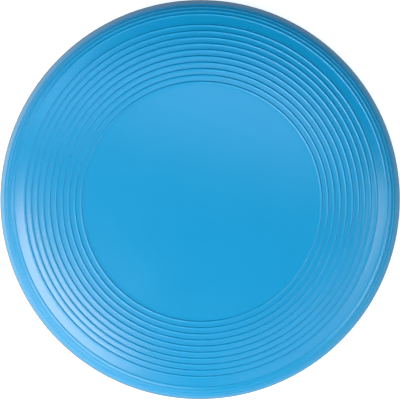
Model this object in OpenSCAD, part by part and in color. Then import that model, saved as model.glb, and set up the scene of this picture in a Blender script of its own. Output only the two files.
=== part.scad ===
// Flying disc: one injection-moulded shell, turned about the Z axis.
// The origin is the middle of the circle that the rim rests on, with +Z up.
//
// The outline is a chain of tangent arcs. A point of an arc is given by its slope, the angle in
// degrees that the outward normal leans away from straight up: 0 on top, 90 at the widest point
// and 180 straight down.

/* [Disc] */
// Diameter across the widest part of the rim
disc_d = 210; // [180:1:280]
// Thickness of the plate, the crown and the shoulder
wall = 1.6; // [1.2:0.1:2.4]

/* [Top] */
// Slope at the edge of the plate, under the first crown rib
plate_slope = 4; // [2:0.5:8]
// Slope at the outer edge of the crown, under the first shoulder rib
crown_slope = 15; // [11:0.5:20]
// Slope where the shoulder runs into the rim
shoulder_slope = 45; // [38:1:52]
// Radius of the shoulder
shoulder_r = 9.5; // [8:0.5:13]

/* [Rim] */
// Radius of the rim above its widest part
rim_r = 11; // [8:0.5:13]
// Radius of the rim below its widest part, where it curls in
curl_r = 7; // [5:0.1:10]
// Slope at which the curl ends in the lip
lip_slope = 130; // [115:1:145]
// Thickness of the rim and the lip, and diameter of the lip's rounded edge
lip_t = 2.6; // [2:0.1:3.2]
// Width of the flat land under the lip
foot_w = 1.6; // [1:0.1:1.8]

/* [Ribs] */
// Number of ribs on the crown
crown_ribs = 10; // [3:1:12]
// Distance from one crown rib to the next, along the surface
crown_rib_pitch = 3.3; // [2.6:0.1:4.2]
// Diameter of the round top of a crown rib
crown_rib_d = 1.5; // [1.2:0.1:2.4]
// Height of a crown rib above the surface
crown_rib_h = 0.4; // [0.2:0.05:0.6]
// Distance from the last crown rib to the first shoulder rib
plain_band = 5.9; // [3:0.1:9]
// Number of ribs from the shoulder to the rim
shoulder_ribs = 4; // [1:1:5]
// Distance from one shoulder rib to the next, along the surface
shoulder_rib_pitch = 2; // [1.5:0.1:2.3]
// Diameter of the round top of a shoulder rib
shoulder_rib_d = 1.3; // [1:0.1:1.8]
// Height of a shoulder rib above the surface
shoulder_rib_h = 0.25; // [0.15:0.05:0.45]

/* [Gate] */
// Diameter of the pad round the gate, in the middle of the underside
pad_d = 16; // [8:1:30]
// Height of the pad
pad_h = 0.4; // [0.2:0.1:0.8]
// Diameter of the trimmed stub of the sprue
stub_d = 3.5; // [2:0.5:6]
// Height of the stub below the pad
stub_h = 0.5; // [0.2:0.1:1]

/* [Hidden] */
// How far a straight facet of the outline may lie off the true arc
chord_error = 0.005;
// How deep a rib, the pad and the stub are rooted in what carries them
root = 0.3;

// Direction of the outward normal at a slope
function normal(slope) = [sin(slope), cos(slope)];
// Length of an arc
function arc_length(r, from, to) = r * (to - from) * PI / 180;
// Number of facets that keeps an arc within the chord error
function facets(r, from, to) = max(3, ceil(abs(to - from) / (2 * acos(1 - chord_error / r))));
// Points along an arc, from one slope to another
function arc(c, r, from, to) =
    let (n = facets(r, from, to))
    [for (i = [0 : n]) c + r * normal(from + (to - from) * i / n)];

// The lip's edge is a round of the lip's thickness, cut off flat where the disc rests on it
edge_r = lip_t / 2;
foot_angle = asin(foot_w / 2 / edge_r);
rim_z = edge_r * cos(foot_angle) - (curl_r - edge_r) * cos(lip_slope);

// Length of the crown, and the radius that it needs to turn from one slope to the other
crown_len = (crown_ribs - 1) * crown_rib_pitch + plain_band;
crown_r = crown_len / arc_length(1, plate_slope, crown_slope);

// Centres of the arcs, from the rim up, each on the normal that it shares with the one before
curl_c = [disc_d / 2 - curl_r, rim_z];
edge_c = curl_c + (curl_r - edge_r) * normal(lip_slope);
rim_c = curl_c + (curl_r - rim_r) * normal(90);
shoulder_c = rim_c + (rim_r - shoulder_r) * normal(shoulder_slope);
crown_c = shoulder_c + (shoulder_r - crown_r) * normal(crown_slope);
// The plate is what is left inside the crown: a cap of the sphere centred on the axis
plate_r = crown_r + crown_c.x / sin(plate_slope);
plate_c = [0, crown_c.y - crown_c.x / tan(plate_slope)];
disc_h = plate_c.y + plate_r;

// Inside, the rim goes straight up from the lip and then rounds into the shoulder
inner_x = disc_d / 2 - lip_t;
inner_end = shoulder_c + (shoulder_r - wall) * normal(shoulder_slope);
fillet_r = (inner_x - inner_end.x) / (1 - sin(shoulder_slope));
fillet_c = inner_end - fillet_r * normal(shoulder_slope);

shoulder_len = arc_length(shoulder_r, crown_slope, shoulder_slope);

// Where a rib stands: [arc centre, arc radius, slope] at a distance from the crown's outer edge,
// measured along the surface, and negative on the crown
function rib_seat(s) =
    s < 0 ? [crown_c, crown_r, crown_slope + s / arc_length(crown_r, 0, 1)]
    : s < shoulder_len ? [shoulder_c, shoulder_r, crown_slope + s / arc_length(shoulder_r, 0, 1)]
    : [rim_c, rim_r, shoulder_slope + (s - shoulder_len) / arc_length(rim_r, 0, 1)];

// Section of a rib: the top of a circle, standing on the surface and rooted a little way into it
module rib_section(s, d, h) {
    seat = rib_seat(s);
    translate(seat[0] + seat[1] * normal(seat[2]))
        rotate(-seat[2])
            intersection() {
                translate([0, h - d / 2]) circle(d = d, $fn = 48);
                translate([-d, -root]) square([2 * d, root + 2 * h]);
            }
}

// Section of the shell, down the outside, round the lip and back up the inside
module shell_section() {
    polygon(concat(
        arc(plate_c, plate_r, 0, plate_slope),
        arc(crown_c, crown_r, plate_slope, crown_slope),
        arc(shoulder_c, shoulder_r, crown_slope, shoulder_slope),
        arc(rim_c, rim_r, shoulder_slope, 90),
        arc(curl_c, curl_r, 90, lip_slope),
        arc(edge_c, edge_r, lip_slope, 180 - foot_angle),
        arc(edge_c, edge_r, 180 + foot_angle, lip_slope + 180),
        arc(curl_c, curl_r - lip_t, lip_slope, 90),
        arc(fillet_c, fillet_r, 90, shoulder_slope),
        arc(shoulder_c, shoulder_r - wall, shoulder_slope, crown_slope),
        arc(crown_c, crown_r - wall, crown_slope, plate_slope),
        arc(plate_c, plate_r - wall, plate_slope, 0)
    ));
}

// The crown's ribs, from the plain band in to the edge of the plate
module crown_rib_sections() {
    for (i = [0 : crown_ribs - 1])
        rib_section(-plain_band - i * crown_rib_pitch, crown_rib_d, crown_rib_h);
}

// The finer ribs, from the edge of the crown out over the shoulder
module shoulder_rib_sections() {
    for (i = [0 : shoulder_ribs - 1])
        rib_section(i * shoulder_rib_pitch, shoulder_rib_d, shoulder_rib_h);
}

// Pad and stub left by the gate, hanging from the underside of the plate
module gate() {
    under = disc_h - wall;
    translate([0, 0, under - pad_h])
        cylinder(d = pad_d, h = pad_h + root, $fn = 96);
    translate([0, 0, under - pad_h - stub_h])
        cylinder(d = stub_d, h = stub_h + root, $fn = 48);
}

module disc() {
    color("deepskyblue") {
        rotate_extrude($fn = 180) {
            shell_section();
            crown_rib_sections();
            shoulder_rib_sections();
        }
        gate();
    }
}

disc();
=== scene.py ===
import math

import bmesh
import bpy
from mathutils import Matrix, Vector


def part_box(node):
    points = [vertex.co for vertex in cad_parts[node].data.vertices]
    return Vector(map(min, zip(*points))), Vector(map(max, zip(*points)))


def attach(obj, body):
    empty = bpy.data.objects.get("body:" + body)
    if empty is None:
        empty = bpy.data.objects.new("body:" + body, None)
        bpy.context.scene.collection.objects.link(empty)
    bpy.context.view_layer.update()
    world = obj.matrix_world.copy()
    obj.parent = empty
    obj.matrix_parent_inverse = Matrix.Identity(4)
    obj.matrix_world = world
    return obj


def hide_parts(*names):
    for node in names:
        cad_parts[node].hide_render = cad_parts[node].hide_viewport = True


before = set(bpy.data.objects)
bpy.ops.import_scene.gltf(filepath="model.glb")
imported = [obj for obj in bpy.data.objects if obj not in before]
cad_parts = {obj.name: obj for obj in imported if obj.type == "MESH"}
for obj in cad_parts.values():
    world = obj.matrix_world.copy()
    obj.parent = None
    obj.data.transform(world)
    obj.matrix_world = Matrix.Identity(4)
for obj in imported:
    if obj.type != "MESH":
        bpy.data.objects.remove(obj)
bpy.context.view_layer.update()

# --- The moulding --------------------------------------------------------------------------------
# The disc is one injection moulding in blue polypropylene. Its mould is turned on a lathe, so its
# section is a chain of tangent arcs. They are walked here from the middle of the land that the
# disc rests on: once up the outside to the top, and once up the inside to the gate.

# Sizes are given in millimetres, and the scene is in metres
MM = 0.001

low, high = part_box("disc")
disc_r = (high.x - low.x) / 2

wall = 1.6 * MM
lip_t = 2.6 * MM
land_w = 1.6 * MM
land_corner_r = 0.4 * MM
curl_r = 7 * MM
rim_r = 11 * MM
shoulder_r = 9.5 * MM

# Slopes, in degrees: how far the outward normal leans from straight up
plate_slope = 4
crown_slope = 15
shoulder_slope = 45
lip_slope = 130

crown_ribs = 10
crown_rib_pitch = 3.3 * MM
plain_band = 5.9 * MM
shoulder_ribs = 4
shoulder_rib_pitch = 2 * MM

# Width over the root fillets, height, and radius of the root fillets
crown_rib = (1.4 * MM, 0.4 * MM, 0.25 * MM)
shoulder_rib = (1.2 * MM, 0.25 * MM, 0.2 * MM)

# The gate: a pad that stiffens the middle, and the trimmed stub of the sprue
pad_r = 8 * MM
pad_h = 0.4 * MM
stub_r = 1.75 * MM
stub_h = 0.5 * MM
step_root_r = 0.15 * MM
step_edge_r = 0.08 * MM
step_slope = 85

# Longest facet of an arc, in degrees and in length, and facets round the disc
facet_deg = 9
facet_len = 3.5 * MM
facets_round = 180

# Slopes closer than this are the same, and so are vertices
same_slope = 0.01
same_place = 0.001 * MM

shell = bmesh.new()
# crest marks the rib crests. The material lightens them, partly as wear and partly as a painted highlight.
crest = shell.verts.layers.float.new("crest")
inside = shell.verts.layers.float.new("inside")


def outward(slope):
    """Direction of the outward normal at a slope."""
    return Vector((math.sin(math.radians(slope)), 0, math.cos(math.radians(slope))))


def rib_shape(size, base_r):
    """Half of the base arc that a rib takes up, the slope of its flank, and its crest's radius."""
    width, height, root_r = size
    half = math.asin(width / 2 / base_r)
    run = (base_r + root_r) * math.sin(half)
    lift = height + (base_r + root_r) * (1 - math.cos(half))
    flank = 2 * math.atan2(lift, run)
    return math.degrees(half), math.degrees(flank), run / math.sin(flank) - root_r


class Walk:
    """Draws the section: each step turns or slides its last vertex on, and the slope with it.
    side is -1 on the outside, where the slope falls on the way up, and 1 on the inside."""

    def __init__(self, vertex, side):
        self.tip = vertex
        self.side = side
        self.slope = 180

    def on(self, length):
        """Straight on along the surface."""
        start = self.tip.co.copy()
        made = bmesh.ops.extrude_vert_indiv(shell, verts=[self.tip])
        self.tip = made["verts"][0]
        self.tip.co = start + outward(self.slope + 90 * self.side) * length

    def turn(self, radius, degrees, wear_and_highlight=(0, 0)):
        """Round an arc. A hollow arc has a negative radius. The last argument is how much of a crest
        the arc is at its start and at its end. Crests are lighter in colour: partly wear, partly a painted
        highlight."""
        length = abs(radius) * math.radians(degrees)
        steps = max(2, math.ceil(degrees / facet_deg), math.ceil(length / facet_len))
        degrees *= self.side * math.copysign(1, radius)
        count = len(shell.verts)
        made = bmesh.ops.spin(
            shell, geom=[self.tip], cent=self.tip.co - outward(self.slope) * radius, axis=(0, 1, 0),
            angle=math.radians(degrees), steps=steps, use_merge=False, use_duplicate=False)
        self.tip = [v for v in made["geom_last"] if isinstance(v, bmesh.types.BMVert)][0]
        self.slope += degrees
        for i, v in enumerate(list(shell.verts)[count:]):
            v[crest] = wear_and_highlight[0] + (wear_and_highlight[1] - wear_and_highlight[0]) * (i + 1) / steps

    def rise(self, size, base_r):
        """Up the first half of a rib, to its crest."""
        half, flank, crest_r = rib_shape(size, base_r)
        self.turn(-size[2], flank - half)
        self.turn(crest_r, flank, wear_and_highlight=(0, 1))

    def fall(self, size, base_r):
        """Down the second half of a rib."""
        half, flank, crest_r = rib_shape(size, base_r)
        self.turn(crest_r, flank, wear_and_highlight=(1, 0))
        self.turn(-size[2], flank - half)

    def ribbed(self, base_r, end, ribs):
        """Along an arc to the slope where it ends, over ribs at the slopes given. A rib that
        stands where two arcs meet has one half on each."""
        for seat, size in ribs:
            if abs(self.slope - seat) > same_slope:
                self.turn(base_r, self.slope - seat - rib_shape(size, base_r)[0])
                self.rise(size, base_r)
            if abs(seat - end) > same_slope:
                self.fall(size, base_r)
        if abs(self.slope - end) > same_slope:
            self.turn(base_r, self.slope - end)

    def inward_to(self, x, base_r):
        """Along the hollow underside of the plate, to a distance from the axis."""
        self.turn(-base_r, self.slope - 180 - math.degrees(math.asin(x / base_r)))

    def step_down(self, height):
        """Down over a step, which has a fillet at its root and a round at its edge."""
        rounds = (step_root_r + step_edge_r) * (1 - math.cos(math.radians(step_slope)))
        self.turn(-step_root_r, step_slope)
        self.on((height - rounds) / math.sin(math.radians(step_slope)))
        self.turn(step_edge_r, step_slope)


edge_r = lip_t / 2
edge_x = disc_r - curl_r + (curl_r - edge_r) * math.sin(math.radians(lip_slope))
edge_z = math.sqrt(edge_r ** 2 - (land_w / 2) ** 2)
# The land's corners are small rounds inside the round of the lip, down to the same level
corner_turn = math.degrees(math.acos((edge_z - land_corner_r) / (edge_r - land_corner_r)))
flat_half = (edge_r - land_corner_r) * math.sin(math.radians(corner_turn))
foot = bmesh.ops.create_vert(shell, co=(edge_x, 0, low.z))["vert"][0]

crown_len = (crown_ribs - 1) * crown_rib_pitch + plain_band
crown_r = crown_len / math.radians(crown_slope - plate_slope)
crown_seats = [
    crown_slope - math.degrees((plain_band + i * crown_rib_pitch) / crown_r) for i in range(crown_ribs)]
shoulder_len = shoulder_r * math.radians(shoulder_slope - crown_slope)
shoulder_seats = []
for i in reversed(range(shoulder_ribs)):
    along = i * shoulder_rib_pitch
    if along < shoulder_len:
        shoulder_seats.append(crown_slope + math.degrees(along / shoulder_r))
    else:
        shoulder_seats.append(shoulder_slope + math.degrees((along - shoulder_len) / rim_r))

outside = Walk(foot, -1)
outside.on(flat_half)
outside.turn(land_corner_r, corner_turn)
outside.turn(edge_r, 180 - corner_turn - lip_slope)
outside.turn(curl_r, lip_slope - 90)
outside.ribbed(rim_r, shoulder_slope, [(s, shoulder_rib) for s in shoulder_seats if s > shoulder_slope])
outside.ribbed(shoulder_r, crown_slope, [(s, shoulder_rib) for s in shoulder_seats if s <= shoulder_slope])
outside.ribbed(crown_r, plate_slope, [(crown_slope, shoulder_rib)] + [(s, crown_rib) for s in crown_seats])
# The plate is the sphere that runs on from under the last rib to the middle of the top
plate_r = outside.tip.co.x / math.sin(math.radians(plate_slope)) - crown_rib[1]
outside.ribbed(plate_r, 0, [(plate_slope, crown_rib)])
outside.tip.co.x = 0

outer_count = len(shell.verts)
under = Walk(foot, 1)
under.on(flat_half)
under.turn(land_corner_r, corner_turn)
under.turn(edge_r, lip_slope - corner_turn)
under.turn(-(curl_r - lip_t), lip_slope - 90)
# Straight up inside the rim, and round into the underside of the shoulder
shoulder_end = disc_r - rim_r + (rim_r - wall) * math.sin(math.radians(shoulder_slope))
fillet_r = (disc_r - lip_t - shoulder_end) / (1 - math.sin(math.radians(shoulder_slope)))
under.on((rim_r - wall - fillet_r) * math.cos(math.radians(shoulder_slope)))
under.turn(-fillet_r, 90 - shoulder_slope)
under.turn(-(shoulder_r - wall), shoulder_slope - crown_slope)
under.turn(-(crown_r - wall), crown_slope - plate_slope)
under.inward_to(pad_r, plate_r - wall)
under.step_down(pad_h)
under.inward_to(stub_r, plate_r - wall - pad_h)
under.step_down(stub_h)
under.inward_to(0, plate_r - wall - pad_h - stub_h)
under.tip.co.x = 0
for v in list(shell.verts)[outer_count:]:
    v[inside] = 1

bmesh.ops.spin(
    shell, geom=shell.verts[:] + shell.edges[:], cent=(0, 0, 0), axis=(0, 0, 1), angle=math.tau,
    steps=facets_round, use_merge=True, use_duplicate=False)
bmesh.ops.remove_doubles(shell, verts=shell.verts[:], dist=same_place)
bmesh.ops.recalc_face_normals(shell, faces=shell.faces[:])
for f in shell.faces:
    f.smooth = True
shell_mesh = bpy.data.meshes.new("moulding")
shell.to_mesh(shell_mesh)
shell.free()
moulding = bpy.data.objects.new("moulding", shell_mesh)
bpy.context.scene.collection.objects.link(moulding)
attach(moulding, "root")
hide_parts("disc")


class Level:
    """A number that varies over a surface. Arithmetic on it adds Math nodes to its finish."""

    def __init__(self, finish, socket):
        self.finish = finish
        self.socket = socket

    def __add__(self, other):
        return self.finish.math("ADD", self, other)

    def __sub__(self, other):
        return self.finish.math("SUBTRACT", self, other)

    def __rsub__(self, other):
        return self.finish.math("SUBTRACT", other, self)

    def __mul__(self, other):
        return self.finish.math("MULTIPLY", self, other)

    __radd__ = __add__
    __rmul__ = __mul__


class Finish:
    """A material, or the room's surroundings, and its tree of nodes."""

    def __init__(self, owner):
        owner.use_nodes = True
        self.owner = owner
        self.tree = owner.node_tree
        self.tree.nodes.clear()

    def node(self, kind, settings, sockets, output=0):
        """Adds a node, sets it, feeds its sockets and gives back one of its outputs."""
        made = self.tree.nodes.new(kind)
        for name, value in settings.items():
            setattr(made, name, value)
        for name, value in sockets.items():
            if isinstance(value, Level):
                self.tree.links.new(value.socket, made.inputs[name])
            else:
                made.inputs[name].default_value = value
        if output is None:
            return None
        return Level(self, made.outputs[output])

    def math(self, operation, *values, clamp=False):
        settings = {"operation": operation, "use_clamp": clamp}
        return self.node("ShaderNodeMath", settings, dict(enumerate(values)))

    def noise(self, place, size, detail):
        """Even noise about 0, whose patches are about as wide as size."""
        sockets = {"Vector": place, "Scale": 1 / size, "Detail": detail, "Roughness": 0.5}
        return self.node("ShaderNodeTexNoise", {}, sockets, "Fac") - 0.5


# The plastic is coloured through, with faint clouds of pigment and streaks drawn out along X. The
# polished mould leaves a satin skin with a slight orange peel. The core of the mould isn't polished,
# so the hollow side is duller and shows its turning marks.
cloud_size = 22 * MM
peel_size = 9 * MM
streak_size = 3.5 * MM
speck_size = 1.1 * MM
grain_size = 0.5 * MM
drawn_out = (0.12, 1, 1)
tool_feed = 0.9 * MM
deep_blue = (0.0015, 0.223, 0.440, 1)
light_blue = (0.003, 0.248, 0.486, 1)
satin = 0.24
micron = 0.001 * MM

plastic = Finish(bpy.data.materials.new("blue_polypropylene"))
place = plastic.node("ShaderNodeTexCoord", {}, {}, "Object")
on_crest = plastic.node("ShaderNodeAttribute", {"attribute_name": "crest"}, {}, "Fac")
on_inside = plastic.node("ShaderNodeAttribute", {"attribute_name": "inside"}, {}, "Fac")
drawn = plastic.node("ShaderNodeMapping", {}, {"Vector": place, "Scale": drawn_out})
clouds = plastic.noise(place, cloud_size, 3)
streaks = plastic.noise(drawn, streak_size, 2)
specks = plastic.noise(place, speck_size, 2)
peel = plastic.noise(drawn, peel_size, 1)
grain = plastic.noise(place, grain_size, 2)
# The wave texture has 20 / tau rings to a length of 1 at a scale of 1
turned = plastic.node(
    "ShaderNodeTexWave", {"wave_type": "RINGS", "rings_direction": "Z"},
    {"Vector": place, "Scale": math.tau / (20 * tool_feed), "Distortion": 1.0}, "Fac")

# Crests are a little lighter, partly as wear from handling and partly as a painted highlight along them.
pigment = clouds * 0.5 + streaks * 0.18 + specks * 0.12 + on_crest * 0.05 + 0.5
colour = plastic.node(
    "ShaderNodeMix", {"data_type": "RGBA"},
    {"Factor": pigment, "A": deep_blue, "B": light_blue}, "Result")
matt = satin + clouds * 0.04 + specks * 0.03 - on_crest * 0.02 + on_inside * 0.16
# Heights here are in microns
relief = peel * 6 + streaks * 0.8 + grain * 0.25 + turned * on_inside * 2.5
bumps = plastic.node(
    "ShaderNodeBump", {}, {"Strength": 1.0, "Distance": micron, "Height": relief}, "Normal")
skin = plastic.node(
    "ShaderNodeBsdfPrincipled", {},
    {"Base Color": colour, "Roughness": matt, "IOR": 1.5, "Normal": bumps}, "BSDF")
plastic.node("ShaderNodeOutputMaterial", {}, {"Surface": skin}, None)
shell_mesh.materials.append(plastic.owner)

# --- The table it lies on ------------------------------------------------------------------------
# A sheet of white paper, lit so strongly from all round that it burns out and takes no shadow.
# It gives the disc none of its own light: what the rim picks up comes from the room below. From
# underneath it can be seen through, up to a white ceiling, so that the hollow side shows too.
paper_half = 2.5
paper_gap = 0.05 * MM
paper_white = 0.5
paper_glow = 0.76
ceiling_height = 3


def backdrop(name, height, material):
    """A level sheet that the camera sees, but that throws no light on the disc."""
    sheet = bmesh.new()
    bmesh.ops.create_grid(sheet, x_segments=1, y_segments=1, size=paper_half)
    bmesh.ops.translate(sheet, verts=sheet.verts, vec=(0, 0, height))
    mesh = bpy.data.meshes.new(name)
    sheet.to_mesh(mesh)
    sheet.free()
    mesh.materials.append(material)
    flat = bpy.data.objects.new(name, mesh)
    bpy.context.scene.collection.objects.link(flat)
    flat.visible_diffuse = False
    flat.visible_glossy = False
    return flat


white = Finish(bpy.data.materials.new("white_paper"))
fibres = white.node("ShaderNodeBsdfDiffuse", {}, {"Color": (paper_white, paper_white, paper_white, 1)})
glow = white.node("ShaderNodeEmission", {}, {"Color": (1, 1, 1, 1), "Strength": paper_glow})
front = white.node("ShaderNodeAddShader", {}, {0: fibres, 1: glow})
clear = white.node("ShaderNodeBsdfTransparent", {}, {})
from_below = white.node("ShaderNodeNewGeometry", {}, {}, "Backfacing")
either = white.node("ShaderNodeMixShader", {}, {0: from_below, 1: front, 2: clear})
white.node("ShaderNodeOutputMaterial", {}, {"Surface": either}, None)
backdrop("paper", low.z - paper_gap, white.owner)

bright = Finish(bpy.data.materials.new("white_ceiling"))
even = bright.node("ShaderNodeEmission", {}, {"Color": (1, 1, 1, 1), "Strength": 1.0})
bright.node("ShaderNodeOutputMaterial", {}, {"Surface": even}, None)
backdrop("ceiling", ceiling_height, bright.owner).visible_shadow = False

# --- Lights --------------------------------------------------------------------------------------
# Each softbox hangs level above the table. Its place and its size are given for one metre of
# height: how far it lies to the side, and how wide it is. turn is its angle seen from above.
lamp_height = 2


def softbox(name, at, size, turn, radiance, tint=(1, 1, 1), shape="RECTANGLE"):
    lamp = bpy.data.lights.new(name, "AREA")
    lamp.shape = shape
    lamp.color = tint
    lamp.size = size[0] * lamp_height
    lamp.size_y = size[1] * lamp_height
    area = lamp.size * lamp.size_y
    if shape == "ELLIPSE":
        area *= math.pi / 4
    # A flat lamp throws pi times its radiance, over its area
    lamp.energy = radiance * area * math.pi
    box = bpy.data.objects.new(name, lamp)
    box.location = (at[0] * lamp_height, at[1] * lamp_height, lamp_height)
    box.rotation_euler = (0, 0, math.radians(turn))
    bpy.context.scene.collection.objects.link(box)


softbox("key", (-0.60, -0.31), (0.98, 0.31), -36, 12.8, (1, 0.82, 0.71), "ELLIPSE")
softbox("front_left", (-1.06, -1.56), (2.04, 1.91), 18, 5.1)
softbox("right", (1.1, -0.83), (0.4, 1.77), 17, 5.8)
softbox("overhead", (-0.67, 0.38), (2.19, 0.26), -15, 4.3, (0.42, 0.72, 1))
softbox("front_right", (0.86, -0.55), (1.53, 0.6), 7, 1.35, (1, 0.75, 0.65))
softbox("front", (-0.33, -0.40), (0.2, 0.49), 138, 2.1)

# The room is dark above. It is brighter near the table's level and below it, mostly on the left.
# For each side: its direction, how bright it is far below the table, and just above the table.
sides = [((-1, 0), 3.4, 1.25), ((0, -1), 1.6, 0.8), ((1, 0), 1.4, 0.35), ((0, 1), 1.5, 0.0)]
room = Finish(bpy.data.worlds.new("room"))
bpy.context.scene.world = room.owner
view = room.node("ShaderNodeTexCoord", {}, {}, "Generated")
x, y, z = (room.node("ShaderNodeSeparateXYZ", {}, {"Vector": view}, axis) for axis in "XYZ")
below = room.math("MULTIPLY", z, -1.5, clamp=True)
above = room.math("MULTIPLY_ADD", z, -6.0, 3.0, clamp=True) - below
strength = 0
for (side_x, side_y), low_level, high_level in sides:
    facing = room.math("MAXIMUM", x * side_x + y * side_y, 0.0)
    strength = facing * facing * (below * low_level + above * high_level) + strength
sky = room.node("ShaderNodeBackground", {}, {"Color": (1, 1, 1, 1), "Strength": strength})
room.node("ShaderNodeOutputWorld", {}, {"Surface": sky}, None)

# --- Camera --------------------------------------------------------------------------------------
# It looks almost straight down from 1.4 m, leaning a little to the back and the left.
camera_distance = 1.4
lean = math.radians(4)
lean_towards = Vector((-0.502, 0.865, 0)).normalized()
frame_margin = 1.0005
frame_width = 2 * disc_r * frame_margin
rim_z = edge_z - (curl_r - edge_r) * math.cos(math.radians(lip_slope))
target = Vector((-0.26 * MM, 0.2 * MM, low.z + rim_z))
view_axis = lean_towards * math.sin(lean) + Vector((0, 0, math.cos(lean)))
up = (Vector((0, 1, 0)) - view_axis * view_axis.y).normalized()
right = up.cross(view_axis)
lens = bpy.data.cameras.new("camera")
lens.lens = lens.sensor_width * camera_distance / frame_width
camera = bpy.data.objects.new("camera", lens)
bpy.context.scene.collection.objects.link(camera)
turned = Matrix((right, up, view_axis)).transposed().to_4x4()
camera.matrix_world = Matrix.Translation(target + view_axis * camera_distance) @ turned
bpy.context.scene.camera = camera
bpy.context.scene.view_settings.view_transform = "Standard"
